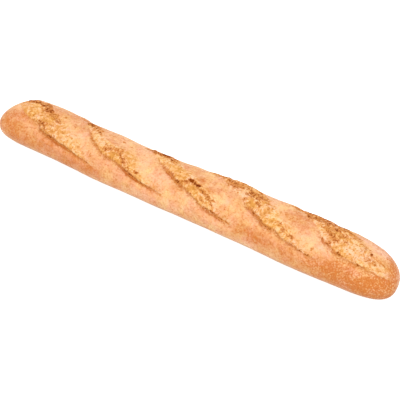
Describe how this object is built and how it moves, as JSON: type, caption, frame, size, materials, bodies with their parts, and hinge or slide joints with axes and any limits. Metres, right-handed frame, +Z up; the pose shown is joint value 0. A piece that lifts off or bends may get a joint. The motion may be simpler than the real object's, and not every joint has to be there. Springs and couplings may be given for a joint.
{
  "type": "baguette",
  "caption": "Long crusty loaf of bread with rounded ends, slanting torn scores along its top and a flat base that it lies on.",
  "frame": {"origin": "on the resting plane, under the middle of the loaf's bounding box", "axes": "+X along the loaf, +Y to its back, away from the side that the scores run down to, +Z up"},
  "size_m": [0.55, 0.0746, 0.0501],
  "materials": {
    "crust": "dry baked crust: golden tan sides with fine mottling, paler smooth bands between the scores, rough cream to golden crumb inside the scores with torn dark brown edges"
  },
  "bodies": {
    "root": {"loaf": "crust"}
  },
  "joints": []
}
